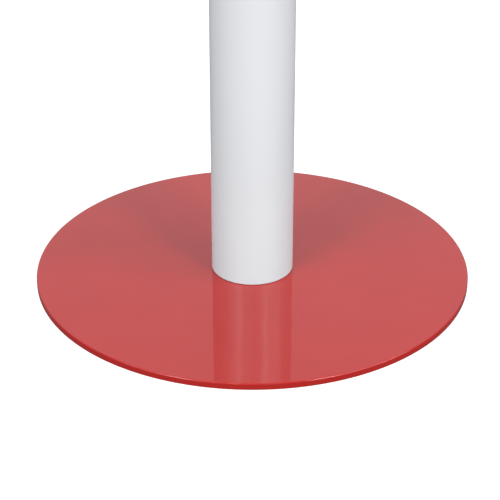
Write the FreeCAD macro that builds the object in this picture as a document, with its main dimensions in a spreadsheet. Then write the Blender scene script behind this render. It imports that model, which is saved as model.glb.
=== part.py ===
import FreeCAD
import Part
import os
import Sketcher

# Chain stanchion: a round plastic post on a flat steel disc, with a turning head that takes
# the ends of plastic chains. Millimetres, +Z up, origin on the floor under the post's axis.

SIZES = [
    # the disc and what is under it
    ("plate_diameter", 320, "steel disc"),
    ("plate_thickness", 5, "steel disc"),
    ("plate_top_round", 0.8, "rounding of the disc's upper edge"),
    ("plate_bottom_round", 0.5, "rounding of the disc's lower edge"),
    ("foot_diameter", 25, "self-adhesive rubber pad"),
    ("foot_thickness", 1, "self-adhesive rubber pad"),
    ("foot_circle_radius", 132, "pads stand on this circle"),
    ("foot_count", 6, "rubber pads"),
    # the countersunk bolt and its nut
    ("bolt_diameter", 7.9, "M8 shank, without its thread"),
    ("bolt_hole_diameter", 9, "clearance hole for the M8 bolt"),
    ("bolt_sink_diameter", 17, "mouth of the countersink under the disc"),
    ("bolt_head_diameter", 16, "countersunk head"),
    ("bolt_length", 25, "bolt, head included"),
    ("bolt_socket_width", 5, "hexagon socket, across flats"),
    ("bolt_socket_depth", 2.8, "hexagon socket"),
    ("nut_width", 13, "M8 nut, across flats"),
    ("nut_height", 6.5, "M8 nut"),
    ("nut_bore", 8, "M8 nut"),
    # the moulded plug inside the foot of the post
    ("plug_radius", 26.6, "plug wall, outside"),
    ("plug_wall", 2.6, "plug wall"),
    ("plug_length", 55, "plug"),
    ("plug_floor", 8, "plug floor"),
    ("plug_boss_radius", 12, "boss round the nut"),
    ("plug_boss_height", 18, "boss and webs, from the underside of the plug"),
    ("plug_web", 2.4, "radial webs"),
    ("plug_web_count", 6, "radial webs"),
    ("plug_rib_width", 2, "crush ribs on the wall"),
    ("plug_rib_radius", 26.95, "crush ribs reach this radius"),
    ("plug_rib_count", 8, "crush ribs"),
    ("peg_diameter", 6, "pegs that stop the plug from turning on the disc"),
    ("peg_length", 3.5, "pegs"),
    ("peg_hole_diameter", 6.4, "holes for the pegs"),
    ("peg_circle_radius", 19.5, "pegs"),
    # the post and its bands
    ("tube_diameter", 60, "plastic tube"),
    ("tube_wall", 3, "plastic tube"),
    ("tube_length", 944, "plastic tube"),
    ("tube_edge", 0.5, "chamfer on both ends of the tube, outside"),
    ("band_thickness", 0.25, "retroreflective film"),
    ("band_height", 100, "retroreflective film"),
    ("band_pitch", 200, "from one band to the next"),
    ("band_top_gap", 60, "from the end of the tube to the top band"),
    ("band_count", 3, "bands"),
    # the turning head, from the end of the tube upwards
    ("head_gap", 0.2, "between the collar and the end of the tube"),
    ("spigot_radius", 26.8, "turns inside the tube"),
    ("spigot_bore", 22.3, "inner radius of the spigot"),
    ("spigot_length", 45, "spigot"),
    ("ring_depth", 20, "middle of the ring groove, below the end of the tube"),
    ("ring_groove_height", 2.8, "groove for the friction ring"),
    ("ring_inner_radius", 24.9, "bottom of the groove and inside of the ring"),
    ("ring_outer_radius", 26.95, "friction ring, squeezed in the tube"),
    ("ring_height", 2.2, "friction ring"),
    ("collar_radius", 30, "collar"),
    ("collar_bore", 27, "inner radius of the collar"),
    ("collar_height", 36, "top of the collar, above the end of the tube"),
    ("floor_top", 4.2, "top of the floor inside the collar"),
    ("boss_radius", 6, "screw boss in the middle of the collar"),
    ("pilot_diameter", 4.9, "hole in the screw boss"),
    ("pilot_depth", 16, "hole in the screw boss"),
    ("housing_inner", 21, "slot housing, nearest point to the axis"),
    ("housing_width", 15, "slot housing"),
    ("slot_floor", 8, "bottom of the T slots"),
    ("slot_neck_width", 5, "T slot, through the collar wall"),
    ("slot_head_width", 9.4, "T slot, wide part"),
    ("slot_head_inner", 22.8, "T slot, wide part, nearest point to the axis"),
    ("slot_head_outer", 26.2, "T slot, wide part, furthest point from the axis"),
    # the hooks
    ("hook_count", 4, "hooks, evenly spaced"),
    ("root_inner", 23, "T root, nearest point to the axis"),
    ("root_outer", 26, "T root, furthest point from the axis"),
    ("root_width", 9, "T root"),
    ("root_top", 35.6, "T root"),
    ("neck_width", 4.6, "neck, between the root and the ring"),
    ("neck_bottom", 13, "neck, outside the collar"),
    ("neck_top", 30, "neck, outside the collar"),
    ("ring_centre_out", 44, "middle of the hook's ring, from the axis"),
    ("ring_centre_up", 22, "middle of the hook's ring, above the end of the tube"),
    ("hook_inner_radius", 7, "hook's ring"),
    ("hook_outer_radius", 11.5, "hook's ring"),
    ("hook_thickness", 8, "hook's ring"),
    ("hook_edge", 1, "rounding of the ring's edges"),
    ("mouth_start", 55, "degrees, from straight outwards"),
    ("mouth_end", 130, "degrees, from straight outwards"),
    # the cap and its screw
    ("cap_radius", 32, "brim of the cap"),
    ("cap_brim", 3, "height of the brim's edge"),
    ("cap_height", 14, "cap, from the collar to its highest point"),
    ("cap_wall", 3, "cap, over its hollow"),
    ("skirt_outer", 20.5, "skirt inside the slot housings"),
    ("skirt_inner", 18.5, "skirt inside the slot housings"),
    ("skirt_depth", 9, "skirt, below the collar's top"),
    ("cap_boss_radius", 5.8, "boss under the middle of the cap"),
    ("screw_recess_diameter", 11, "recess for the screw's head"),
    ("screw_recess_depth", 3, "recess for the screw's head"),
    ("screw_hole_diameter", 5.2, "clearance hole in the cap"),
    ("screw_diameter", 4.8, "self-tapping screw, without its thread"),
    ("screw_length", 25, "self-tapping screw, below its head"),
    ("screw_head_diameter", 9.5, "pan head"),
    ("screw_head_height", 2.7, "pan head"),
    ("screw_cross_width", 1, "cross recess"),
    ("screw_cross_length", 5, "cross recess"),
    ("screw_cross_depth", 1.5, "cross recess"),
]

doc = FreeCAD.newDocument("ChainStanchion")
sheet = doc.addObject("Spreadsheet::Sheet", "Size")
for row, (alias, size, note) in enumerate(SIZES, start=1):
    sheet.set("A%d" % row, alias)
    sheet.set("B%d" % row, str(size))
    sheet.setAlias("B%d" % row, alias)
    sheet.set("C%d" % row, note)
doc.recompute()

sub_parts = []


def value(expression):
    """The number that an expression over the sheet gives now."""
    return float(sheet.evalExpression(expression))


def keep(sub_part, label, position=("0", "0", "0"), turn="0"):
    """Name a finished sub-part and bind its position and its turn about the vertical."""
    sub_part.Label = label
    for axis, expression in zip("xyz", position):
        sub_part.setExpression("Placement.Base." + axis, expression)
    if turn != "0":
        sub_part.Placement.Rotation = FreeCAD.Rotation(FreeCAD.Vector(0, 0, 1), value(turn))
        sub_part.setExpression("Placement.Rotation.Angle", turn)
    sub_parts.append(sub_part)
    return sub_part


# ------------------------------------------------------------------ sketches and features

def new_sketch(body, name, role, offset="0"):
    """Empty sketch on one of the body's own planes, moved along that plane's normal."""
    plane = [item for item in body.Origin.OriginFeatures if item.Role == role][0]
    sketch = body.newObject("Sketcher::SketchObject", name)
    sketch.AttachmentSupport = (plane, [""])
    sketch.MapMode = "FlatFace"
    sketch.setExpression("AttachmentOffset.Base.z", offset)
    return sketch


def bind(sketch, kind, name, target, expression):
    """Add one dimension to a sketch and drive it from the sheet."""
    sketch.addConstraint(Sketcher.Constraint(kind, *target, value(expression)))
    sketch.renameConstraint(sketch.ConstraintCount - 1, name)
    sketch.setExpression("Constraints." + name, expression)


def add_outline(sketch, corners):
    """Closed outline of straight lines. Each corner is a pair of expressions."""
    points = [FreeCAD.Vector(value(across), value(up), 0) for across, up in corners]
    first = sketch.GeometryCount
    count = len(points)
    for number in range(count):
        line = Part.LineSegment(points[number], points[(number + 1) % count])
        sketch.addGeometry(line, False)
    for number in range(count):
        following = first + (number + 1) % count
        sketch.addConstraint(Sketcher.Constraint("Coincident", first + number, 2, following, 1))
    for number, (across, up) in enumerate(corners):
        line = first + number
        bind(sketch, "DistanceX", "across_%d" % line, (line, 1), across)
        bind(sketch, "DistanceY", "up_%d" % line, (line, 1), up)


def add_circle(sketch, radius, across="0", up="0"):
    """Full circle about a bound centre."""
    centre = FreeCAD.Vector(value(across), value(up), 0)
    circle = Part.Circle(centre, FreeCAD.Vector(0, 0, 1), value(radius))
    number = sketch.addGeometry(circle, False)
    bind(sketch, "DistanceX", "across_%d" % number, (number, 3), across)
    bind(sketch, "DistanceY", "up_%d" % number, (number, 3), up)
    bind(sketch, "Radius", "radius_%d" % number, (number,), radius)


def add_hexagon(sketch, width):
    """Regular hexagon about the origin, given across its flats."""
    corner = "(%s) / 2 / cos(30)" % width
    add_outline(sketch, [(corner + " * cos(%d)" % angle, corner + " * sin(%d)" % angle)
                         for angle in range(0, 360, 60)])


def add_box(sketch, left, right, bottom, top):
    """Rectangle between four bound sides."""
    add_outline(sketch, [(left, bottom), (right, bottom), (right, top), (left, top)])


def pad(body, sketch, length, both_ways=False):
    """Grow the sketch along its normal, or by half the length to each side of it."""
    feature = body.newObject("PartDesign::Pad", sketch.Name + "_pad")
    feature.Profile = sketch
    feature.setExpression("Length", length)
    if both_ways:
        feature.SideType = "Symmetric"
    doc.recompute()
    return feature


def pocket(body, sketch, length, along_normal=False, both_ways=False):
    """Cut the sketch into the body, and make sure that something was removed."""
    before = body.Shape.Volume
    feature = body.newObject("PartDesign::Pocket", sketch.Name + "_pocket")
    feature.Profile = sketch
    feature.setExpression("Length", length)
    feature.Reversed = along_normal
    if both_ways:
        feature.SideType = "Symmetric"
    doc.recompute()
    require_cut(body, before, feature)
    return feature


def require_cut(body, before, feature):
    """Stop when a cutting feature has removed nothing."""
    if body.Shape.Volume > before - 1e-3:
        raise RuntimeError(feature.Name + " cuts nothing")


def lathe(body, name, corners):
    """Turn an outline of (radius, height) corners about the vertical axis."""
    sketch = new_sketch(body, name, "XZ_Plane")
    add_outline(sketch, corners)
    return revolve(body, sketch)


def revolve(body, sketch):
    """Full turn of a sketch about its own vertical axis."""
    feature = body.newObject("PartDesign::Revolution", sketch.Name + "_turned")
    feature.Profile = sketch
    feature.ReferenceAxis = (sketch, ["V_Axis"])
    feature.Angle = 360
    doc.recompute()
    return feature


def repeat_round(body, feature, count):
    """Repeat a feature round the vertical axis."""
    axis = [item for item in body.Origin.OriginFeatures if item.Role == "Z_Axis"][0]
    pattern = body.newObject("PartDesign::PolarPattern", feature.Name + "_round")
    pattern.Originals = [feature]
    pattern.Axis = (axis, [""])
    pattern.Angle = 360
    pattern.setExpression("Occurrences", count)
    body.Tip = pattern
    doc.recompute()
    return pattern


def edge_work(body, kind, name, size, chosen):
    """Fillet or chamfer the edges of the body for which chosen(edge) is true."""
    base = body.Tip
    names = ["Edge%d" % number for number, edge in enumerate(base.Shape.Edges, start=1)
             if chosen(edge)]
    feature = body.newObject("PartDesign::" + kind, name)
    feature.Base = (base, names)
    feature.setExpression("Radius" if kind == "Fillet" else "Size", size)
    doc.recompute()
    return feature


def is_circle(edge, radius, height=None):
    """True for a round edge about the vertical axis, of this radius and at this height."""
    curve = edge.Curve
    if not isinstance(curve, Part.Circle) or abs(curve.Axis.z) < 0.999:
        return False
    if abs(curve.Radius - radius) > 1e-4 or abs(curve.Center.x) + abs(curve.Center.y) > 1e-4:
        return False
    return height is None or abs(curve.Center.z - height) < 1e-4


# ------------------------------------------------------------------ base

def make_rubber_foot(number):
    """Thin round pad under the disc."""
    foot = doc.addObject("Part::Cylinder", "rubber_foot_%d" % number)
    foot.setExpression("Radius", "Size.foot_diameter / 2")
    foot.setExpression("Height", "Size.foot_thickness")
    angle = "((%d - 0.5) * 360 / Size.foot_count)" % number
    position = ("Size.foot_circle_radius * cos%s" % angle,
                "Size.foot_circle_radius * sin%s" % angle,
                "0")
    return keep(foot, "rubber_foot_%d" % number, position)


def make_base_plate():
    """Steel disc with a countersunk bolt hole and two peg holes."""
    body = doc.addObject("PartDesign::Body", "base_plate")
    disc = new_sketch(body, "disc", "XY_Plane")
    add_circle(disc, "Size.plate_diameter / 2")
    pad(body, disc, "Size.plate_thickness")
    rim = value("Size.plate_diameter / 2")
    top = value("Size.plate_thickness")
    edge_work(body, "Fillet", "disc_top_edge", "Size.plate_top_round",
              lambda edge: is_circle(edge, rim, top))
    edge_work(body, "Fillet", "disc_bottom_edge", "Size.plate_bottom_round",
              lambda edge: is_circle(edge, rim, 0))

    before = body.Shape.Volume
    centre = new_sketch(body, "bolt_hole_centre", "XY_Plane")
    add_circle(centre, "Size.bolt_hole_diameter / 2")
    doc.recompute()
    hole = body.newObject("PartDesign::Hole", "bolt_hole")
    hole.Profile = centre
    hole.DepthType = "ThroughAll"
    hole.HoleCutType = "Countersink"
    hole.HoleCutCustomValues = True
    hole.HoleCutCountersinkAngle = 90
    hole.Reversed = True
    hole.setExpression("Diameter", "Size.bolt_hole_diameter")
    hole.setExpression("HoleCutDiameter", "Size.bolt_sink_diameter")
    doc.recompute()
    require_cut(body, before, hole)

    pegs = new_sketch(body, "peg_holes", "XY_Plane")
    for side in ("1", "-1"):
        add_circle(pegs, "Size.peg_hole_diameter / 2", side + " * Size.peg_circle_radius")
    pocket(body, pegs, "Size.plate_thickness", along_normal=True)
    return keep(body, "base_plate", ("0", "0", "Size.foot_thickness"))


def make_foot_bolt():
    """Countersunk socket bolt, from the underside of the disc upwards."""
    body = doc.addObject("PartDesign::Body", "foot_bolt")
    head = "Size.bolt_head_diameter / 2"
    shank = "Size.bolt_diameter / 2"
    cone = "(%s - %s)" % (head, shank)
    lathe(body, "bolt_profile", [
        ("0", "0"),
        (head, "0"),
        (shank, cone),
        (shank, "Size.bolt_length - 0.8"),
        (shank + " - 0.8", "Size.bolt_length"),
        ("0", "Size.bolt_length"),
    ])
    socket = new_sketch(body, "bolt_socket", "XY_Plane")
    add_hexagon(socket, "Size.bolt_socket_width")
    pocket(body, socket, "Size.bolt_socket_depth", along_normal=True)
    seat = "(Size.bolt_sink_diameter - Size.bolt_head_diameter) / 2"
    return keep(body, "foot_bolt", ("0", "0", "Size.foot_thickness + " + seat))


def make_foot_nut():
    """Hexagon nut in the plug's pocket."""
    body = doc.addObject("PartDesign::Body", "foot_nut")
    hexagon = new_sketch(body, "nut_hexagon", "XY_Plane")
    add_hexagon(hexagon, "Size.nut_width")
    add_circle(hexagon, "Size.nut_bore / 2")
    pad(body, hexagon, "Size.nut_height")
    bottom = "Size.foot_thickness + Size.plate_thickness + Size.plug_floor"
    return keep(body, "foot_nut", ("0", "0", bottom))


def make_foot_plug():
    """Moulded cup that fills the foot of the tube: floor, nut boss, webs, ribs and pegs."""
    body = doc.addObject("PartDesign::Body", "foot_plug")
    wall_inner = "Size.plug_radius - Size.plug_wall"
    lathe(body, "plug_profile", [
        ("0", "0"),
        ("Size.plug_radius", "0"),
        ("Size.plug_radius", "Size.plug_length - 1"),
        ("Size.plug_radius - 1", "Size.plug_length"),
        (wall_inner, "Size.plug_length"),
        (wall_inner, "Size.plug_floor"),
        ("Size.plug_boss_radius", "Size.plug_floor"),
        ("Size.plug_boss_radius", "Size.plug_boss_height"),
        ("0", "Size.plug_boss_height"),
    ])

    web = new_sketch(body, "plug_web", "XZ_Plane")
    add_box(web, "Size.plug_boss_radius - 1", wall_inner + " + 1",
            "Size.plug_floor - 1", "Size.plug_boss_height")
    repeat_round(body, pad(body, web, "Size.plug_web", both_ways=True), "Size.plug_web_count")

    rib = new_sketch(body, "plug_rib", "XY_Plane")
    add_box(rib, "Size.plug_radius - 1", "Size.plug_rib_radius",
            "-Size.plug_rib_width / 2", "Size.plug_rib_width / 2")
    repeat_round(body, pad(body, rib, "Size.plug_length - 6"), "Size.plug_rib_count")

    bore = new_sketch(body, "plug_bore", "XY_Plane")
    add_circle(bore, "Size.bolt_hole_diameter / 2")
    pocket(body, bore, "Size.plug_boss_height", along_normal=True)

    nut_room = new_sketch(body, "plug_nut_room", "XY_Plane", "Size.plug_floor")
    add_hexagon(nut_room, "Size.nut_width + 0.2")
    pocket(body, nut_room, "Size.plug_boss_height", along_normal=True)

    pegs = new_sketch(body, "plug_pegs", "XY_Plane", "-Size.peg_length")
    for side in ("1", "-1"):
        add_circle(pegs, "Size.peg_diameter / 2", side + " * Size.peg_circle_radius")
    pad(body, pegs, "Size.peg_length + 1")
    return keep(body, "foot_plug", ("0", "0", "Size.foot_thickness + Size.plate_thickness"))


# ------------------------------------------------------------------ post

def make_sleeve(label, outer_radius, inner_radius, length, bottom, chamfer=None):
    """Plain length of round tube standing on the height called bottom."""
    body = doc.addObject("PartDesign::Body", label)
    ring = new_sketch(body, label + "_ring", "XY_Plane")
    add_circle(ring, outer_radius)
    add_circle(ring, inner_radius)
    pad(body, ring, length)
    if chamfer:
        radius = value(outer_radius)
        edge_work(body, "Chamfer", label + "_ends", chamfer,
                  lambda edge: is_circle(edge, radius))
    return keep(body, label, ("0", "0", bottom))


TUBE_BOTTOM = "Size.foot_thickness + Size.plate_thickness"
TUBE_TOP = TUBE_BOTTOM + " + Size.tube_length"


def make_post_tube():
    """White plastic tube, standing on the disc round the plug."""
    return make_sleeve("post_tube", "Size.tube_diameter / 2",
                       "Size.tube_diameter / 2 - Size.tube_wall",
                       "Size.tube_length", TUBE_BOTTOM, "Size.tube_edge")


def make_red_band(number):
    """Film wrapped round the tube. The first band is the highest."""
    bottom = "%s - Size.band_top_gap - Size.band_height - %d * Size.band_pitch" % (
        TUBE_TOP, number - 1)
    return make_sleeve("red_band_%d" % number,
                       "Size.tube_diameter / 2 + Size.band_thickness",
                       "Size.tube_diameter / 2", "Size.band_height", bottom)


# ------------------------------------------------------------------ turning head
# Every piece of the head has its own origin on the axis at the end of the tube.

def make_head_core():
    """Spigot, collar, screw boss and the slots that hold the hooks."""
    body = doc.addObject("PartDesign::Body", "head_core")
    groove_low = "-Size.ring_depth - Size.ring_groove_height / 2"
    groove_high = "-Size.ring_depth + Size.ring_groove_height / 2"
    lathe(body, "core_profile", [
        ("0", "Size.head_gap"),
        ("Size.spigot_bore", "Size.head_gap"),
        ("Size.spigot_bore", "-Size.spigot_length"),
        ("Size.spigot_radius - 1", "-Size.spigot_length"),
        ("Size.spigot_radius", "-Size.spigot_length + 2"),
        ("Size.spigot_radius", groove_low),
        ("Size.ring_inner_radius", groove_low),
        ("Size.ring_inner_radius", groove_high),
        ("Size.spigot_radius", groove_high),
        ("Size.spigot_radius", "Size.head_gap"),
        ("Size.collar_radius", "Size.head_gap"),
        ("Size.collar_radius", "Size.collar_height"),
        ("Size.collar_bore", "Size.collar_height"),
        ("Size.collar_bore", "Size.floor_top"),
        ("Size.boss_radius", "Size.floor_top"),
        ("Size.boss_radius", "Size.collar_height"),
        ("0", "Size.collar_height"),
    ])

    housing = new_sketch(body, "slot_housing", "XY_Plane", "Size.floor_top - 1")
    add_box(housing, "Size.housing_inner", "Size.collar_bore + 1",
            "-Size.housing_width / 2", "Size.housing_width / 2")
    height = "Size.collar_height - Size.floor_top + 1"
    repeat_round(body, pad(body, housing, height), "Size.hook_count")

    slot_depth = "Size.collar_height - Size.slot_floor"
    wide = new_sketch(body, "slot_head", "XY_Plane", "Size.slot_floor")
    add_box(wide, "Size.slot_head_inner", "Size.slot_head_outer",
            "-Size.slot_head_width / 2", "Size.slot_head_width / 2")
    repeat_round(body, pocket(body, wide, slot_depth, along_normal=True), "Size.hook_count")
    neck = new_sketch(body, "slot_neck", "XY_Plane", "Size.slot_floor")
    add_box(neck, "Size.slot_head_outer - 1", "Size.collar_radius + 1",
            "-Size.slot_neck_width / 2", "Size.slot_neck_width / 2")
    repeat_round(body, pocket(body, neck, slot_depth, along_normal=True), "Size.hook_count")

    pilot = new_sketch(body, "pilot_hole", "XY_Plane", "Size.collar_height")
    add_circle(pilot, "Size.pilot_diameter / 2")
    pocket(body, pilot, "Size.pilot_depth")
    return keep(body, "head_core", ("0", "0", TUBE_TOP))


def make_head_ring():
    """Rubber ring that fills the spigot's groove and rubs on the tube."""
    body = doc.addObject("PartDesign::Body", "head_o_ring")
    low = "-Size.ring_depth - Size.ring_height / 2"
    high = "-Size.ring_depth + Size.ring_height / 2"
    lathe(body, "ring_profile", [
        ("Size.ring_inner_radius", low),
        ("Size.ring_outer_radius", low),
        ("Size.ring_outer_radius", high),
        ("Size.ring_inner_radius", high),
    ])
    edge_work(body, "Fillet", "ring_edges", "Size.ring_height / 4",
              lambda edge: isinstance(edge.Curve, Part.Circle))
    return keep(body, "head_o_ring", ("0", "0", TUBE_TOP))


def make_hook(number):
    """Open ring for a chain link, on a neck and a T root that slides into its slot."""
    body = doc.addObject("PartDesign::Body", "c_hook_%d" % number)
    out = "Size.ring_centre_out"
    up = "Size.ring_centre_up"

    ring = new_sketch(body, "hook_ring_%d" % number, "XZ_Plane")
    add_circle(ring, "Size.hook_outer_radius", out, up)
    add_circle(ring, "Size.hook_inner_radius", out, up)
    pad(body, ring, "Size.hook_thickness", both_ways=True)

    mouth = new_sketch(body, "hook_mouth_%d" % number, "XZ_Plane")
    reach = "2 * Size.hook_outer_radius"
    add_outline(mouth, [
        (out, up),
        ("%s + %s * cos(Size.mouth_start)" % (out, reach),
         "%s + %s * sin(Size.mouth_start)" % (up, reach)),
        ("%s + %s * cos(Size.mouth_end)" % (out, reach),
         "%s + %s * sin(Size.mouth_end)" % (up, reach)),
    ])
    pocket(body, mouth, "Size.hook_thickness + 2", both_ways=True)

    tips = new_sketch(body, "hook_tips_%d" % number, "XZ_Plane")
    middle = "(Size.hook_outer_radius + Size.hook_inner_radius) / 2"
    for angle in ("Size.mouth_start", "Size.mouth_end"):
        add_circle(tips, "(Size.hook_outer_radius - Size.hook_inner_radius) / 2",
                   "%s + %s * cos(%s)" % (out, middle, angle),
                   "%s + %s * sin(%s)" % (up, middle, angle))
    pad(body, tips, "Size.hook_thickness", both_ways=True)

    neck = new_sketch(body, "hook_neck_%d" % number, "XZ_Plane")
    ring_side = "%s - Size.hook_inner_radius - 1" % out
    add_outline(neck, [
        ("Size.root_outer - 1", "Size.slot_floor"),
        ("Size.collar_radius + 1", "Size.slot_floor"),
        (ring_side, "Size.neck_bottom"),
        (ring_side, "Size.neck_top - 3"),
        ("Size.collar_radius + 2", "Size.neck_top"),
        ("Size.collar_radius + 0.5", "Size.root_top"),
        ("Size.root_outer - 1", "Size.root_top"),
    ])
    pad(body, neck, "Size.neck_width", both_ways=True)

    root = new_sketch(body, "hook_root_%d" % number, "XZ_Plane")
    add_box(root, "Size.root_inner", "Size.root_outer", "Size.slot_floor", "Size.root_top")
    pad(body, root, "Size.root_width", both_ways=True)

    half = value("Size.hook_thickness / 2")
    outer = value("Size.hook_outer_radius")
    edge_work(body, "Fillet", "hook_edges_%d" % number, "Size.hook_edge",
              lambda edge: on_side_face(edge, half, outer))
    turn = "%d * 360 / Size.hook_count" % (number - 1)
    return keep(body, "c_hook_%d" % number, ("0", "0", TUBE_TOP), turn)


def on_side_face(edge, half, radius):
    """True for the outer round edges on the two flat sides of a hook's ring."""
    curve = edge.Curve
    if not isinstance(curve, Part.Circle) or abs(curve.Axis.y) < 0.999:
        return False
    return abs(curve.Radius - radius) < 1e-4 and abs(abs(curve.Center.y) - half) < 1e-4


def make_dome_cap():
    """Domed cap: flat brim over the slots, skirt between the housings, screw boss."""
    body = doc.addObject("PartDesign::Body", "dome_cap")
    base = "Size.collar_height"
    brim = "(%s + Size.cap_brim)" % base
    crown = "(%s + Size.cap_height)" % base
    rise = "(Size.cap_height - Size.cap_brim)"
    dome_radius = "((Size.cap_radius ^ 2 + %s ^ 2) / 2 / %s)" % (rise, rise)
    ceiling = "(%s - Size.cap_wall - 1)" % crown
    sketch = new_sketch(body, "cap_profile", "XZ_Plane")
    corners = [
        ("0", crown),
        ("0", base),
        ("Size.cap_boss_radius", base),
        ("Size.cap_boss_radius", ceiling),
        ("Size.skirt_inner - 4", ceiling),
        ("Size.skirt_inner", base + " + 4"),
        ("Size.skirt_inner", base + " - Size.skirt_depth"),
        ("Size.skirt_outer", base + " - Size.skirt_depth"),
        ("Size.skirt_outer", base),
        ("Size.cap_radius", base),
        ("Size.cap_radius", brim),
    ]
    points = [FreeCAD.Vector(value(across), value(high), 0) for across, high in corners]
    last = len(points) - 1
    for number in range(last):
        sketch.addGeometry(Part.LineSegment(points[number], points[number + 1]), False)
    centre = FreeCAD.Vector(0, value("%s - %s" % (crown, dome_radius)), 0)
    circle = Part.Circle(centre, FreeCAD.Vector(0, 0, 1), value(dome_radius))
    from_brim = circle.parameter(points[last])
    dome = sketch.addGeometry(Part.ArcOfCircle(circle, from_brim, circle.parameter(points[0])), False)
    for number in range(last - 1):
        sketch.addConstraint(Sketcher.Constraint("Coincident", number, 2, number + 1, 1))
    sketch.addConstraint(Sketcher.Constraint("Coincident", last - 1, 2, dome, 1))
    sketch.addConstraint(Sketcher.Constraint("Coincident", 0, 1, dome, 2))
    for number, (across, high) in enumerate(corners):
        target = (number, 1) if number < last else (dome, 1)
        bind(sketch, "DistanceX", "across_%d" % number, target, across)
        bind(sketch, "DistanceY", "up_%d" % number, target, high)
    bind(sketch, "DistanceX", "dome_centre_across", (dome, 3), "0")
    revolve(body, sketch)

    before = body.Shape.Volume
    centre_mark = new_sketch(body, "cap_hole_centre", "XY_Plane", crown)
    add_circle(centre_mark, "Size.screw_hole_diameter / 2")
    doc.recompute()
    hole = body.newObject("PartDesign::Hole", "cap_hole")
    hole.Profile = centre_mark
    hole.DepthType = "ThroughAll"
    hole.HoleCutType = "Counterbore"
    hole.HoleCutCustomValues = True
    hole.setExpression("Diameter", "Size.screw_hole_diameter")
    hole.setExpression("HoleCutDiameter", "Size.screw_recess_diameter")
    hole.setExpression("HoleCutDepth", "Size.screw_recess_depth")
    doc.recompute()
    require_cut(body, before, hole)
    return keep(body, "dome_cap", ("0", "0", TUBE_TOP))


def make_cap_screw():
    """Pan-head self-tapping screw through the cap into the collar's boss."""
    body = doc.addObject("PartDesign::Body", "cap_screw")
    seat = "(Size.collar_height + Size.cap_height - Size.screw_recess_depth)"
    shank = "Size.screw_diameter / 2"
    head = "Size.screw_head_diameter / 2"
    lathe(body, "screw_profile", [
        ("0", "-Size.screw_length"),
        (shank + " - 1.6", "-Size.screw_length"),
        (shank, "-Size.screw_length + 4"),
        (shank, "0"),
        (head, "0"),
        (head, "Size.screw_head_height - 1.1"),
        (head + " - 0.5", "Size.screw_head_height - 0.4"),
        (head + " - 1.5", "Size.screw_head_height"),
        ("0", "Size.screw_head_height"),
    ])
    cross = new_sketch(body, "screw_cross", "XY_Plane", "Size.screw_head_height")
    long_side = "Size.screw_cross_length / 2"
    short_side = "Size.screw_cross_width / 2"
    add_outline(cross, [
        (long_side, "-" + short_side), (long_side, short_side),
        (short_side, short_side), (short_side, long_side),
        ("-" + short_side, long_side), ("-" + short_side, short_side),
        ("-" + long_side, short_side), ("-" + long_side, "-" + short_side),
        ("-" + short_side, "-" + short_side), ("-" + short_side, "-" + long_side),
        (short_side, "-" + long_side), (short_side, "-" + short_side),
    ])
    pocket(body, cross, "Size.screw_cross_depth")
    return keep(body, "cap_screw", ("0", "0", TUBE_TOP + " + " + seat))


# ------------------------------------------------------------------ assembly

for foot_number in range(1, int(value("Size.foot_count")) + 1):
    make_rubber_foot(foot_number)
make_base_plate()
make_foot_bolt()
make_foot_nut()
make_foot_plug()
make_post_tube()
for band_number in range(1, int(value("Size.band_count")) + 1):
    make_red_band(band_number)
make_head_core()
make_head_ring()
for hook_number in range(1, int(value("Size.hook_count")) + 1):
    make_hook(hook_number)
make_dome_cap()
make_cap_screw()
doc.recompute()

for item in doc.Objects:
    if "Invalid" in item.State or "Error" in item.State:
        raise RuntimeError("%s is %s" % (item.Name, item.State))
for sub_part in sub_parts:
    if sub_part.Shape.isNull() or not sub_part.Shape.isValid():
        raise RuntimeError(sub_part.Label + " has no valid shape")

os.makedirs("parts", exist_ok=True)
for sub_part in sub_parts:
    sub_part.Shape.exportStep("parts/%s.step" % sub_part.Label)
    box = sub_part.Shape.BoundBox
    print("%-14s %2d solid %10.1f mm3  z %7.2f to %7.2f" % (
        sub_part.Label, len(sub_part.Shape.Solids), sub_part.Shape.Volume, box.ZMin, box.ZMax))
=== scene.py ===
import math

import bmesh
import bpy
from mathutils import Matrix, Vector


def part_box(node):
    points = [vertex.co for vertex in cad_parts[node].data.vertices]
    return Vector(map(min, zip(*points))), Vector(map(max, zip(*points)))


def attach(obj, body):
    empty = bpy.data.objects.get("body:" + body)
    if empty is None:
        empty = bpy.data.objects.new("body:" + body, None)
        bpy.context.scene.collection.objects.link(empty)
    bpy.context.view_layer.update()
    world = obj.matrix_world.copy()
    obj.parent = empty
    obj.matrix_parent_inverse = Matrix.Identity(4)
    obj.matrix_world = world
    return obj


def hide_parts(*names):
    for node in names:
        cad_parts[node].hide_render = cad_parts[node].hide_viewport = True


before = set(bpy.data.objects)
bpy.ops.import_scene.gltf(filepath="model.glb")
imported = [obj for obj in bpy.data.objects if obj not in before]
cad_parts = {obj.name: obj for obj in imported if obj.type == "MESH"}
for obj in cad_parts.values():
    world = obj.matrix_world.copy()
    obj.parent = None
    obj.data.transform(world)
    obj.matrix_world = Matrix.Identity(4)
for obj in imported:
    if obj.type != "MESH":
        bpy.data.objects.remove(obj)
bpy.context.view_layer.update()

MM = 0.001
scene = bpy.context.scene

# ---------------------------------------------------------------- sizes
# Heights and lengths that the frame doesn't give. Those of the head are above the tube's end.

BOLT_HOLE_RADIUS = 4.5 * MM
SINK_RADIUS = 8.5 * MM             # mouth of the bolt's countersink, under the disc
SINK_DEPTH = 4 * MM
PEG_HOLE_RADIUS = 3.2 * MM
PEG_CIRCLE_RADIUS = 19.5 * MM
DISC_LOWER_ROUND = 0.5 * MM
DISC_UPPER_ROUND = 0.8 * MM

TUBE_RADIUS = 30 * MM
TUBE_BORE = 27 * MM                # inner radius
TUBE_CHAMFER = 0.5 * MM
FILM_THICKNESS = 0.11 * MM
FILM_GAP = 0.015 * MM              # glue between the tube and the film
FILM_CELL = 3.2 * MM               # one cell of the honeycomb, across flats

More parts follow.
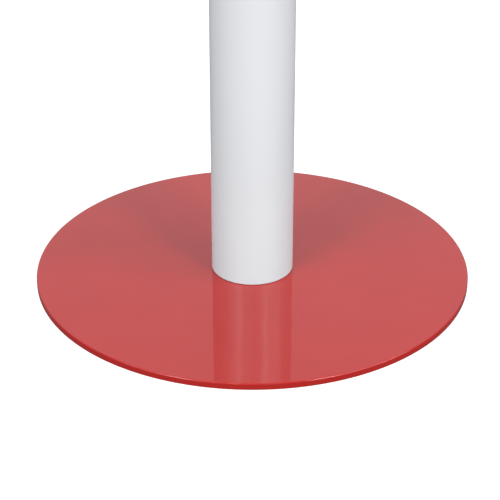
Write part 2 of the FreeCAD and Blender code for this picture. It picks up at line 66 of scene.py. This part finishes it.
HEAD_GAP = 0.2 * MM                # between the collar and the tube's end
SPIGOT_RADIUS = 26.8 * MM
SPIGOT_BORE = 22.3 * MM            # inner radius
SPIGOT_END = -45 * MM
GROOVE_RADIUS = 24.9 * MM          # bottom of the groove for the friction ring
GROOVE_HEIGHTS = (-21.4 * MM, -18.6 * MM)
COLLAR_TOP = 36 * MM
COLLAR_FLOOR = 4.2 * MM
BOSS_RADIUS = 6 * MM               # screw boss in the middle of the collar
PILOT_RADIUS = 2.45 * MM           # hole in the screw boss
PILOT_END = 20 * MM
SLOT_FLOOR = 8 * MM                # bottom of the T slots and of the hooks' T roots
SLOT_CUT_TOP = 40 * MM             # the cut runs out through the top of the collar

RING_OUT = 44 * MM                 # middle of a hook's ring, from the axis
RING_UP = 22 * MM
RING_RADIUS = 9.25 * MM            # middle line of the ring's wire
RING_HALF_WIDTH = 2.25 * MM
RING_HALF_DEPTH = 4 * MM
MOUTH = (130, 415)                 # degrees at which the wire starts and ends
ROOT_INNER, ROOT_OUTER = 23 * MM, 26 * MM
ROOT_TOP = 35.6 * MM

CAP_RADIUS = 32 * MM
BRIM_TOP = 39 * MM
CAP_TOP = 50 * MM
CAP_CEILING = 46 * MM              # over the hollow
SKIRT_OUTER, SKIRT_INNER = 20.5 * MM, 18.5 * MM
SKIRT_END = 27 * MM
CAP_BOSS_RADIUS = 5.8 * MM
SCREW_HOLE_RADIUS = 2.6 * MM
RECESS_RADIUS = 5.5 * MM           # for the screw's head
RECESS_FLOOR = 47 * MM

ON_AXIS = 1e-7                     # a smaller radius is a point on the axis


# ---------------------------------------------------------------- mesh helpers

def new_piece(name, bm):
    """Turn a bmesh into an object, its faces turned outwards."""
    bmesh.ops.recalc_face_normals(bm, faces=bm.faces)
    mesh = bpy.data.meshes.new(name)
    bm.to_mesh(mesh)
    bm.free()
    piece = bpy.data.objects.new(name, mesh)
    scene.collection.objects.link(piece)
    return piece


def shade(piece):
    """Smooth shading, with edges sharp where two faces fold."""
    fold = math.radians(35)
    mesh = piece.data
    for polygon in mesh.polygons:
        polygon.use_smooth = True
    bm = bmesh.new()
    bm.from_mesh(mesh)
    for edge in bm.edges:
        edge.smooth = not edge.is_manifold or edge.calc_face_angle() < fold
    bm.to_mesh(mesh)
    bm.free()
    weighted = piece.modifiers.new("even_normals", "WEIGHTED_NORMAL")
    weighted.keep_sharp = True
    weighted.weight = 80


def around(sides):
    """Unit vectors (x, y) evenly round the axis."""
    turns = [math.tau * side / sides for side in range(sides)]
    return [(math.cos(turn), math.sin(turn)) for turn in turns]


def rounded(corners, steps):
    """Closed outline with its corners rounded. Each corner is (across, up, radius)."""
    outline = []
    count = len(corners)
    for index, (across, up, radius) in enumerate(corners):
        here = Vector((across, up))
        if radius <= 0:
            outline.append(here)
            continue
        back = (Vector(corners[index - 1][:2]) - here).normalized()
        ahead = (Vector(corners[(index + 1) % count][:2]) - here).normalized()
        half = back.angle(ahead) / 2
        reach = radius / math.tan(half)
        centre = here + (back + ahead).normalized() * (radius / math.sin(half))
        first = here + back * reach - centre
        last = here + ahead * reach - centre
        turn = first.angle_signed(last)
        for step in range(steps + 1):
            spoke = first.copy()
            spoke.rotate(Matrix.Rotation(-turn * step / steps, 2))
            outline.append(centre + spoke)
    return [(point.x, point.y) for point in outline]


def turned(name, outline, sides):
    """Closed solid of revolution from a closed outline of (radius, height)."""
    bm = bmesh.new()
    rings = []
    for radius, height in outline:
        if radius < ON_AXIS:
            rings.append([bm.verts.new((0, 0, height))] * sides)
        else:
            rings.append([bm.verts.new((radius * x, radius * y, height)) for x, y in around(sides)])
    for low, high in zip(rings, rings[1:] + rings[:1]):
        for side in range(sides):
            after = (side + 1) % sides
            corners = []
            for vertex in (low[side], low[after], high[after], high[side]):
                if vertex not in corners:
                    corners.append(vertex)
            if len(corners) > 2:
                bm.faces.new(corners)
    return new_piece(name, bm)


def swept(name, sections):
    """Closed solid through a row of sections, each a list of as many points."""
    bm = bmesh.new()
    loops = [[bm.verts.new(point) for point in section] for section in sections]
    for low, high in zip(loops, loops[1:]):
        for index in range(len(low)):
            after = (index + 1) % len(low)
            bm.faces.new((low[index], low[after], high[after], high[index]))
    bm.faces.new(loops[0])
    bm.faces.new(loops[-1])
    return new_piece(name, bm)


def plate_of(name, outline, thickness, bevel=0.0):
    """Flat solid in the XZ plane, from an outline of (x, z), its edges bevelled if asked."""
    piece = swept(name, [[(x, side * thickness / 2, z) for x, z in outline] for side in (-1, 1)])
    if bevel:
        rounding = piece.modifiers.new("edges", "BEVEL")
        rounding.width = bevel
        rounding.segments = 3
        rounding.limit_method = "ANGLE"
        rounding.angle_limit = math.radians(50)
        settle(piece)
    return piece


def block(name, across, width, up, bevel=0.0):
    """Straight-sided block between two radii and two heights, on the side of the first hook."""
    (inner, outer), (bottom, top) = across, up
    corners = [(inner, bottom), (outer, bottom), (outer, top), (inner, top)]
    return plate_of(name, corners, width, bevel)


def settle(piece):
    """Replace a piece's mesh by what its modifiers make of it."""
    graph = bpy.context.evaluated_depsgraph_get()
    made = bpy.data.meshes.new_from_object(piece.evaluated_get(graph))
    piece.modifiers.clear()
    piece.data = made


def combine(piece, tools, operation):
    """Join the tools to a piece, or cut them out of it, and remove them."""
    for tool in tools:
        modifier = piece.modifiers.new("combine", "BOOLEAN")
        modifier.object = tool
        modifier.operation = operation
        modifier.solver = "EXACT"
    settle(piece)
    for tool in tools:
        bpy.data.objects.remove(tool)
    return piece


def turn_quarters(piece, quarters):
    """Turn a piece's mesh by quarter turns about the post's axis."""
    piece.data.transform(Matrix.Rotation(math.radians(90 * quarters), 4, "Z"))
    return piece


def moved(piece, x, y, z):
    """Move a piece's mesh."""
    piece.data.transform(Matrix.Translation((x, y, z)))
    return piece


def assemble(piece, node, body, material):
    """Shade a piece and put it in place of its CAD node, on its body, in its material."""
    shade(piece)
    piece.data.materials.clear()
    piece.data.materials.append(material)
    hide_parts(node)
    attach(piece, body)
    return piece


# ---------------------------------------------------------------- material helpers

class Look:
    """A material under construction, with its Principled shader."""

    def __init__(self, name):
        self.material = bpy.data.materials.new(name)
        self.material.use_nodes = True
        self.tree = self.material.node_tree
        self.shader = self.tree.nodes["Principled BSDF"]
        self.place = self.node("ShaderNodeTexCoord").outputs["Object"]
        self.relief = None

    def node(self, kind, **settings):
        """New node with its settings."""
        made = self.tree.nodes.new(kind)
        for name, setting in settings.items():
            setattr(made, name, setting)
        return made

    def link(self, output, target):
        """Link two sockets."""
        self.tree.links.new(output, target)

    def stretched(self, x, y, z):
        """Object coordinates scaled along each axis."""
        mapping = self.node("ShaderNodeMapping")
        mapping.inputs["Scale"].default_value = (x, y, z)
        self.link(self.place, mapping.inputs["Vector"])
        return mapping.outputs["Vector"]

    def noise(self, scale, detail, place=None, roughness=0.5):
        """Noise with features about 1 / scale metres across."""
        made = self.node("ShaderNodeTexNoise")
        made.inputs["Scale"].default_value = scale
        made.inputs["Detail"].default_value = detail
        made.inputs["Roughness"].default_value = roughness
        self.link(place or self.place, made.inputs["Vector"])
        return made.outputs["Fac"]

    def spread(self, value, low, high, from_low=0.3, from_high=0.7):
        """Remap a value to a new range, clamped."""
        made = self.node("ShaderNodeMapRange")
        made.inputs["From Min"].default_value = from_low
        made.inputs["From Max"].default_value = from_high
        made.inputs["To Min"].default_value = low
        made.inputs["To Max"].default_value = high
        self.link(value, made.inputs["Value"])
        return made.outputs["Result"]

    def mix(self, factor, first, second):
        """Blend two colours, each a tuple or an output."""
        made = self.node("ShaderNodeMix", data_type="RGBA")
        self.link(factor, made.inputs["Factor"])
        for socket, color in (("A", first), ("B", second)):
            target = [item for item in made.inputs if item.name == socket and item.type == "RGBA"][0]
            if isinstance(color, tuple):
                target.default_value = (*color, 1)
            else:
                self.link(color, target)
        return [item for item in made.outputs if item.type == "RGBA"][0]

    def clouds(self, value, first, second):
        """Blend two colours by a noise, over the middle of its range."""
        return self.mix(self.spread(value, 0, 1), first, second)

    def color(self, output):
        """Set the shader's colour."""
        self.link(output, self.shader.inputs["Base Color"])

    def roughness(self, output):
        """Set the shader's roughness."""
        self.link(output, self.shader.inputs["Roughness"])

    def bump(self, height, distance, strength=1.0):
        """Add shallow relief, on top of what is there."""
        made = self.node("ShaderNodeBump")
        made.inputs["Distance"].default_value = distance
        made.inputs["Strength"].default_value = strength
        self.link(height, made.inputs["Height"])
        if self.relief:
            self.link(self.relief, made.inputs["Normal"])
        self.relief = made.outputs["Normal"]
        self.link(self.relief, self.shader.inputs["Normal"])


# ---------------------------------------------------------------- materials

def powder_coat():
    """Gloss red coat: faint clouds in the colour, orange peel, long shallow waves, finger smears."""
    look = Look("gloss_powder_coat")
    darker, lighter = (0.342, 0.0142, 0.0112), (0.362, 0.0158, 0.0124)
    look.color(look.clouds(look.noise(scale=22, detail=4), darker, lighter))
    smears = look.noise(scale=14, detail=5, place=look.stretched(1.0, 2.2, 1.0), roughness=0.6)
    look.roughness(look.spread(smears, 0.02, 0.06, from_low=0.4, from_high=0.75))
    look.bump(look.noise(scale=330, detail=2), distance=0.02 * MM)
    look.bump(look.noise(scale=45, detail=1), distance=0.10 * MM)
    return look.material


def white_tube():
    """Satin white rigid plastic: faint draw lines along the tube and a slightly uneven sheen."""
    look = Look("satin_white_tube")
    clean, handled = (0.587, 0.590, 0.601), (0.574, 0.577, 0.588)
    look.color(look.clouds(look.noise(scale=9, detail=4, roughness=0.6), clean, handled))
    look.roughness(look.spread(look.noise(scale=30, detail=3), 0.27, 0.36))
    draw_lines = look.noise(scale=900, detail=2, place=look.stretched(1, 1, 0.004))
    look.bump(draw_lines, distance=0.006 * MM)
    look.bump(look.noise(scale=60, detail=2), distance=0.04 * MM)
    return look.material


def reflective_film():
    """Red film with a honeycomb of small cells under a clear face."""
    look = Look("red_reflective_film")
    look.shader.inputs["Coat Weight"].default_value = 0.6
    look.shader.inputs["Coat Roughness"].default_value = 0.06
    wrap = look.node("ShaderNodeUVMap", uv_map="wrap").outputs["UV"]
    cells = honeycomb(look, wrap, FILM_CELL)
    seams = look.spread(cells, 0, 1, from_low=0.42, from_high=0.47)
    face = look.clouds(look.noise(scale=40, detail=3), (0.37, 0.010, 0.008), (0.41, 0.015, 0.012))
    look.color(look.mix(seams, face, (0.50, 0.058, 0.050)))
    look.roughness(look.spread(seams, 0.16, 0.34, from_low=0, from_high=1))
    look.bump(look.spread(cells, 1, 0, from_low=0.40, from_high=0.5), distance=0.03 * MM)
    return look.material


def honeycomb(look, place, pitch):
    """Distance from the middle of a hexagonal cell: 0 there, 0.5 on the wall between two cells."""
    long_side = math.sqrt(3)
    period = (1.0, long_side, 1.0)
    middle = (0.5, long_side / 2, 0)

    def vector(operation, first, second=None):
        made = look.node("ShaderNodeVectorMath", operation=operation)
        look.link(first, made.inputs[0])
        if second is not None:
            made.inputs[1].default_value = second
        return made.outputs["Value" if operation == "DOT_PRODUCT" else "Vector"]

    def number(operation, first, second):
        made = look.node("ShaderNodeMath", operation=operation)
        look.link(first, made.inputs[0])
        look.link(second, made.inputs[1])
        return made.outputs[0]

    def wall_distance(offset):
        shifted = vector("ADD", scaled, offset)
        folded = vector("FRACTION", vector("DIVIDE", shifted, period))
        centred = vector("SUBTRACT", vector("MULTIPLY", folded, period), middle)
        size = vector("ABSOLUTE", vector("MULTIPLY", centred, (1, 1, 0)))
        slanted = vector("DOT_PRODUCT", size, middle)
        straight = vector("DOT_PRODUCT", size, (1, 0, 0))
        return number("MAXIMUM", slanted, straight)

    scaled = vector("MULTIPLY", place, (1 / pitch, 1 / pitch, 0))
    return number("MINIMUM", wall_distance((0, 0, 0)), wall_distance(middle))


def moulded_red():
    """Moulded plastic: fine spark texture, flow clouds and rubbed patches."""
    look = Look("moulded_red_plastic")
    flow = look.noise(scale=55, detail=4, place=look.stretched(1, 1, 0.5))
    look.color(look.clouds(flow, (0.35, 0.013, 0.011), (0.38, 0.019, 0.015)))
    look.roughness(look.spread(look.noise(scale=80, detail=4, roughness=0.6), 0.22, 0.38))
    look.bump(look.noise(scale=1600, detail=2), distance=0.03 * MM, strength=0.6)
    look.bump(look.noise(scale=120, detail=1), distance=0.08 * MM)
    return look.material


def soft_rubber(name, grain):
    """Near-black rubber with fine grain and a dusty bloom."""
    look = Look(name)
    bloom = look.noise(scale=70, detail=4, roughness=0.65)
    bloom = look.spread(bloom, 0, 1, from_low=0.45, from_high=0.75)
    look.color(look.mix(bloom, (0.022, 0.022, 0.023), (0.060, 0.058, 0.055)))
    look.roughness(look.spread(look.noise(scale=200, detail=3), 0.62, 0.88))
    look.bump(look.noise(scale=grain, detail=3), distance=0.06 * MM, strength=0.8)
    return look.material


def zinc_plating():
    """Bright zinc: grain drawn along the axis, faint blue and straw tints."""
    look = Look("zinc_plated_steel")
    look.shader.inputs["Metallic"].default_value = 1.0
    blue, straw = (0.60, 0.63, 0.69), (0.70, 0.67, 0.58)
    look.color(look.clouds(look.noise(scale=260, detail=3), blue, straw))
    look.roughness(look.spread(look.noise(scale=700, detail=4, roughness=0.7), 0.2, 0.42))
    grain = look.noise(scale=1500, detail=2, place=look.stretched(1, 1, 0.2))
    look.bump(grain, distance=0.01 * MM)
    return look.material


def moulded_grey():
    """Grey moulded plastic of the plug, hidden in the foot of the tube."""
    look = Look("moulded_grey_plastic")
    look.color(look.clouds(look.noise(scale=60, detail=4), (0.065, 0.065, 0.07), (0.09, 0.09, 0.095)))
    look.roughness(look.spread(look.noise(scale=150, detail=3), 0.42, 0.6))
    look.bump(look.noise(scale=900, detail=2), distance=0.05 * MM)
    return look.material


# ---------------------------------------------------------------- pieces of the post

def make_disc():
    """Steel disc with rounded edges, countersunk bolt hole and two peg holes."""
    low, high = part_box("base_plate")
    rim = min(high.x, high.y, -low.x, -low.y)
    outline = rounded([
        (BOLT_HOLE_RADIUS, high.z, 0), (BOLT_HOLE_RADIUS, low.z + SINK_DEPTH, 0),
        (SINK_RADIUS, low.z, 0), (rim, low.z, DISC_LOWER_ROUND), (rim, high.z, DISC_UPPER_ROUND),
    ], steps=8)
    disc = turned("disc", outline, sides=384)
    beyond = 1 * MM
    holes = []
    for side in (-1, 1):
        ring = [(side * PEG_CIRCLE_RADIUS + PEG_HOLE_RADIUS * x, PEG_HOLE_RADIUS * y)
                for x, y in around(48)]
        holes.append(swept("peg_hole", [[(x, y, z) for x, y in ring]
                                        for z in (low.z - beyond, high.z + beyond)]))
    return combine(disc, holes, "DIFFERENCE")


def make_tube():
    """Length of thick-walled tube, saw cut and lightly chamfered at both ends."""
    low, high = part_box("post_tube")
    shoulder = TUBE_RADIUS - TUBE_CHAMFER
    outline = rounded([
        (TUBE_BORE, low.z, 0.15 * MM), (shoulder, low.z, 0.1 * MM),
        (TUBE_RADIUS, low.z + TUBE_CHAMFER, 0.3 * MM),
        (TUBE_RADIUS, high.z - TUBE_CHAMFER, 0.3 * MM),
        (shoulder, high.z, 0.1 * MM), (TUBE_BORE, high.z, 0.15 * MM),
    ], steps=3)
    return turned("tube", outline, sides=256)


def make_band(number):
    """Film wound once round the tube, its end lapped over its start at the back."""
    low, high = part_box("red_band_%d" % number)
    steps = 240
    lap = math.radians(9)
    start = math.radians(90) - lap / 2
    # The end climbs by a little more than one thickness, just before it meets the start.
    climb_start = math.tau - math.radians(4)
    climb = math.radians(3.5)
    lift = FILM_THICKNESS * 1.05
    sections = []
    for step in range(steps + 1):
        turn = (math.tau + lap) * step / steps
        climbed = min(1, max(0, (turn - climb_start) / climb))
        inner = TUBE_RADIUS + FILM_GAP + lift * climbed
        outer = inner + FILM_THICKNESS
        direction = Vector((math.cos(start + turn), math.sin(start + turn), 0))
        corners = ((inner, low.z), (outer, low.z), (outer, high.z), (inner, high.z))
        sections.append([direction * radius + Vector((0, 0, z)) for radius, z in corners])
    band = swept("band_%d" % number, sections)
    wrap = band.data.uv_layers.new(name="wrap")
    for loop in band.data.loops:
        point = band.data.vertices[loop.vertex_index].co
        angle = (math.atan2(point.y, point.x) - start) % math.tau
        wrap.data[loop.index].uv = (angle * TUBE_RADIUS, point.z - low.z)
    return band


def make_pad(number):
    """Soft round pad, its edge bulged by the weight above it."""
    low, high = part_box("rubber_foot_%d" % number)
    middle = (low + high) / 2
    radius = high.x - middle.x
    outline = rounded([
        (0, low.z, 0), (radius - 0.2 * MM, low.z, 0.25 * MM), (radius, middle.z, 0.6 * MM),
        (radius - 0.15 * MM, high.z, 0.1 * MM), (0, high.z, 0),
    ], steps=3)
    pad = turned("pad_%d" % number, outline, sides=72)
    return moved(pad, middle.x, middle.y, 0)


# ---------------------------------------------------------------- pieces of the head

def make_collar():
    """Spigot and collar in one moulding, with its screw boss and four slots for the hooks."""
    groove_low, groove_high = GROOVE_HEIGHTS
    outline = rounded([
        (0, PILOT_END, 0), (0, HEAD_GAP, 0), (SPIGOT_BORE, HEAD_GAP, 0.5 * MM),
        (SPIGOT_BORE, SPIGOT_END, 0), (SPIGOT_RADIUS - 1 * MM, SPIGOT_END, 0.3 * MM),
        (SPIGOT_RADIUS, SPIGOT_END + 2 * MM, 0.8 * MM), (SPIGOT_RADIUS, groove_low, 0.2 * MM),
        (GROOVE_RADIUS, groove_low, 0.2 * MM), (GROOVE_RADIUS, groove_high, 0.2 * MM),
        (SPIGOT_RADIUS, groove_high, 0.2 * MM), (SPIGOT_RADIUS, HEAD_GAP, 0),
        (TUBE_RADIUS, HEAD_GAP, 0.6 * MM), (TUBE_RADIUS, COLLAR_TOP, 0.3 * MM),
        (TUBE_BORE, COLLAR_TOP, 0.3 * MM), (TUBE_BORE, COLLAR_FLOOR, 0.5 * MM),
        (BOSS_RADIUS, COLLAR_FLOOR, 0.8 * MM), (BOSS_RADIUS, COLLAR_TOP, 0.3 * MM),
        (PILOT_RADIUS, COLLAR_TOP, 0), (PILOT_RADIUS, PILOT_END, 0),
    ], steps=4)
    collar = turned("collar", outline, sides=192)
    housing = {"across": (21 * MM, 28 * MM), "width": 15 * MM, "up": (3.7 * MM, 35.9 * MM)}
    slot_head = {"across": (22.8 * MM, 26.2 * MM), "width": 9.4 * MM, "up": (SLOT_FLOOR, SLOT_CUT_TOP)}
    slot_neck = {"across": (25.5 * MM, 32 * MM), "width": 5 * MM, "up": (SLOT_FLOOR, SLOT_CUT_TOP)}
    housings, slots = [], []
    for quarters in range(4):
        housings.append(turn_quarters(block("housing", **housing), quarters))
        slots.append(turn_quarters(block("slot_head", **slot_head), quarters))
        slots.append(turn_quarters(block("slot_neck", **slot_neck), quarters))
    combine(collar, housings, "UNION")
    return combine(collar, slots, "DIFFERENCE")


def make_hook(number):
    """Open ring with rounded tips, on a webbed neck with a T root."""
    first, last = (math.radians(angle) for angle in MOUTH)
    tip = RING_HALF_WIDTH / RING_RADIUS   # what a rounded tip adds to the wire, in radians
    tip_turns = [math.radians(angle) for angle in (12, 24, 36, 48, 60, 75)]
    bends = 72
    stations = [(first - tip * math.cos(turn), math.sin(turn)) for turn in tip_turns]
    stations += [(first + (last - first) * step / bends, 1.0) for step in range(bends + 1)]
    stations += [(last + tip * math.cos(turn), math.sin(turn)) for turn in reversed(tip_turns)]
    sections = []
    for angle, fullness in stations:
        wide = RING_HALF_WIDTH * fullness
        deep = RING_HALF_DEPTH - 1 * MM * (1 - fullness) ** 2
        edge = min(1.0 * MM, wide * 0.6)
        loop = rounded([(-wide, -deep, edge), (wide, -deep, edge),
                        (wide, deep, edge), (-wide, deep, edge)], steps=5)
        sections.append([(RING_OUT + (RING_RADIUS + across) * math.cos(angle), along,
                          RING_UP + (RING_RADIUS + across) * math.sin(angle)) for across, along in loop])
    ring = swept("hook_%d" % number, sections)
    neck_inner, neck_outer = 25 * MM, RING_OUT - 8 * MM
    neck_outline = rounded([
        (neck_inner, SLOT_FLOOR, 0), (31 * MM, SLOT_FLOOR, 0.5 * MM), (neck_outer, 13 * MM, 0),
        (neck_outer, 27 * MM, 0), (32 * MM, 30 * MM, 1.5 * MM), (30.5 * MM, ROOT_TOP, 0.5 * MM),
        (neck_inner, ROOT_TOP, 0),
    ], steps=4)
    neck = plate_of("neck", neck_outline, thickness=4.6 * MM, bevel=0.45 * MM)
    root = block("root", across=(ROOT_INNER, ROOT_OUTER), width=9 * MM, up=(SLOT_FLOOR, ROOT_TOP),
                 bevel=0.4 * MM)
    combine(ring, [neck, root], "UNION")
    return turn_quarters(ring, number - 1)


def make_cap():
    """Domed cap: crowned top with a screw recess, rounded brim, flat seat and inner skirt."""
    rise = CAP_TOP - BRIM_TOP
    dome = (CAP_RADIUS ** 2 + rise ** 2) / (2 * rise)
    centre = CAP_TOP - dome
    first, last = math.asin(RECESS_RADIUS / dome), math.asin((CAP_RADIUS - 0.8 * MM) / dome)
    steps = 32
    angles = [first + (last - first) * step / steps for step in range(steps + 1)]
    crown = [(dome * math.sin(angle), centre + dome * math.cos(angle)) for angle in angles]
    shell = rounded([
        (CAP_RADIUS, BRIM_TOP - 0.1 * MM, 0.9 * MM), (CAP_RADIUS, COLLAR_TOP, 0.4 * MM),
        (SKIRT_OUTER, COLLAR_TOP, 0.2 * MM), (SKIRT_OUTER, SKIRT_END, 0.3 * MM),
        (SKIRT_INNER, SKIRT_END, 0.3 * MM), (SKIRT_INNER, 40 * MM, 1 * MM),
        (14.5 * MM, CAP_CEILING, 1 * MM), (CAP_BOSS_RADIUS, CAP_CEILING, 0.8 * MM),
        (CAP_BOSS_RADIUS, COLLAR_TOP, 0.2 * MM), (SCREW_HOLE_RADIUS, COLLAR_TOP, 0),
        (SCREW_HOLE_RADIUS, RECESS_FLOOR, 0), (RECESS_RADIUS, RECESS_FLOOR, 0.3 * MM),
    ], steps=5)
    return turned("cap", crown + shell, sides=192)


# ---------------------------------------------------------------- studio

def make_floor():
    """Wide pale floor that stays plain under the soft light and throws no light on the post."""
    reach = 60
    bm = bmesh.new()
    bmesh.ops.create_grid(bm, x_segments=8, y_segments=8, size=reach)
    floor = new_piece("studio_floor", bm)
    look = Look("studio_floor")
    look.shader.inputs["Roughness"].default_value = 0.9
    look.shader.inputs["Specular IOR Level"].default_value = 0.0
    look.shader.inputs["Emission Color"].default_value = (1, 1, 1, 1)
    look.shader.inputs["Emission Strength"].default_value = 0.82
    look.color(look.clouds(look.noise(scale=3, detail=2), (0.335, 0.335, 0.335), (0.345, 0.345, 0.345)))
    floor.data.materials.append(look.material)
    floor.visible_diffuse = False
    floor.visible_glossy = False


def make_lights():
    """Arc of tall soft strips in front of the post, brightest at both shoulders of the camera."""
    strips = [  # degrees to the right of the camera, width in metres, watts
        (-60, 0.9, 13), (-46, 0.4, 10), (-37, 0.6, 36), (-24, 0.6, 7), (-9, 0.3, 7),
        (37, 0.55, 39), (51, 0.8, 15), (74, 1.2, 28),
    ]
    distance, height = 3.0, 1.2
    rise = math.radians(33)
    for azimuth, width, power in strips:
        data = bpy.data.lights.new("strip", "AREA")
        data.shape = "RECTANGLE"
        data.size = width
        data.size_y = height
        data.energy = power
        lamp = bpy.data.objects.new("strip_%d" % azimuth, data)
        turn = math.radians(azimuth)
        away = Vector((math.sin(turn) * math.cos(rise), -math.cos(turn) * math.cos(rise),
                       math.sin(rise)))
        lamp.location = away * distance
        lamp.rotation_euler = away.to_track_quat("Z", "Y").to_euler()
        lamp.visible_camera = False
        scene.collection.objects.link(lamp)


def make_world():
    """Dim studio with a white backdrop behind the post and a pale band all round the horizon."""
    world = bpy.data.worlds.new("studio")
    world.use_nodes = True
    scene.world = world
    tree = world.node_tree
    background = tree.nodes["Background"]
    parts = tree.nodes.new("ShaderNodeSeparateXYZ")
    tree.links.new(tree.nodes.new("ShaderNodeTexCoord").outputs["Generated"], parts.inputs["Vector"])

    def step(output, edge, width):
        """Soft step from 0 to 1 where the output passes the edge."""
        ramp = tree.nodes.new("ShaderNodeMapRange")
        ramp.interpolation_type = "SMOOTHSTEP"
        ramp.inputs["From Min"].default_value = edge - width / 2
        ramp.inputs["From Max"].default_value = edge + width / 2
        tree.links.new(output, ramp.inputs["Value"])
        return ramp.outputs["Result"]

    def number(operation, first, second):
        """Arithmetic on two inputs, each a float or an output."""
        made = tree.nodes.new("ShaderNodeMath")
        made.operation = operation
        for socket, value in zip(made.inputs, (first, second)):
            if isinstance(value, float):
                socket.default_value = value
            else:
                tree.links.new(value, socket)
        return made.outputs[0]

    def one_minus(output):
        return number("SUBTRACT", 1.0, output)

    x, y, z = parts.outputs
    dim, bright, under = 0.53, 1.0, 0.15
    aside = number("ABSOLUTE", x, 0.0)
    backdrop = number("MULTIPLY", step(y, 0.62, 0.10), one_minus(step(aside, 0.42, 0.10)))
    glow = number("MAXIMUM", backdrop, one_minus(step(z, 0.07, 0.06)))
    sky = step(z, -0.03, 0.02)
    above = number("ADD", dim, number("MULTIPLY", glow, bright - dim))
    above = number("MULTIPLY", above, sky)
    below = number("MULTIPLY", under, one_minus(sky))
    tree.links.new(number("ADD", above, below), background.inputs["Strength"])
    background.inputs["Color"].default_value = (0.985, 1.0, 1.06, 1)


def make_camera():
    """Long lens a little above the post's middle, looking down at the foot."""
    data = bpy.data.cameras.new("camera")
    data.sensor_width = 36
    data.lens = 119.8
    data.clip_end = 300
    camera = bpy.data.objects.new("camera", data)
    aside, back, rise = -0.0017, -1.081, 0.617
    tilt = math.radians(61.0)
    camera.location = (aside, back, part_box("base_plate")[0].z + rise)
    camera.rotation_euler = (tilt, 0, 0)
    scene.collection.objects.link(camera)
    scene.camera = camera


# ---------------------------------------------------------------- put together

def add_to_post(piece, node, material):
    """Put a piece on the body that stands still."""
    return assemble(piece, node, "post", material)


def add_to_head(piece, node, material):
    """Lift a piece to the tube's end and put it on the body that turns."""
    tube_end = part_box("post_tube")[1].z
    return assemble(moved(piece, 0, 0, tube_end), node, "head", material)


disc = add_to_post(make_disc(), "base_plate", powder_coat())
disc.visible_diffuse = False
add_to_post(make_tube(), "post_tube", white_tube())
film = reflective_film()
for band_number in (1, 2, 3):
    add_to_post(make_band(band_number), "red_band_%d" % band_number, film)
pad_rubber = soft_rubber("pad_rubber", grain=1200)
for pad_number in range(1, 7):
    add_to_post(make_pad(pad_number), "rubber_foot_%d" % pad_number, pad_rubber)

moulded = moulded_red()
add_to_head(make_collar(), "head_core", moulded)
for hook_number in (1, 2, 3, 4):
    add_to_head(make_hook(hook_number), "c_hook_%d" % hook_number, moulded)
add_to_head(make_cap(), "dome_cap", moulded)

# These pieces keep their CAD shape and only get a material.
zinc = zinc_plating()
kept = {"foot_bolt": zinc, "foot_nut": zinc, "cap_screw": zinc, "foot_plug": moulded_grey(),
        "head_o_ring": soft_rubber("seal_rubber", grain=2500)}
for node, material in kept.items():
    for material_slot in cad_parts[node].material_slots:
        material_slot.material = material

make_floor()
make_world()
make_lights()
make_camera()
scene.view_settings.view_transform = "Standard"
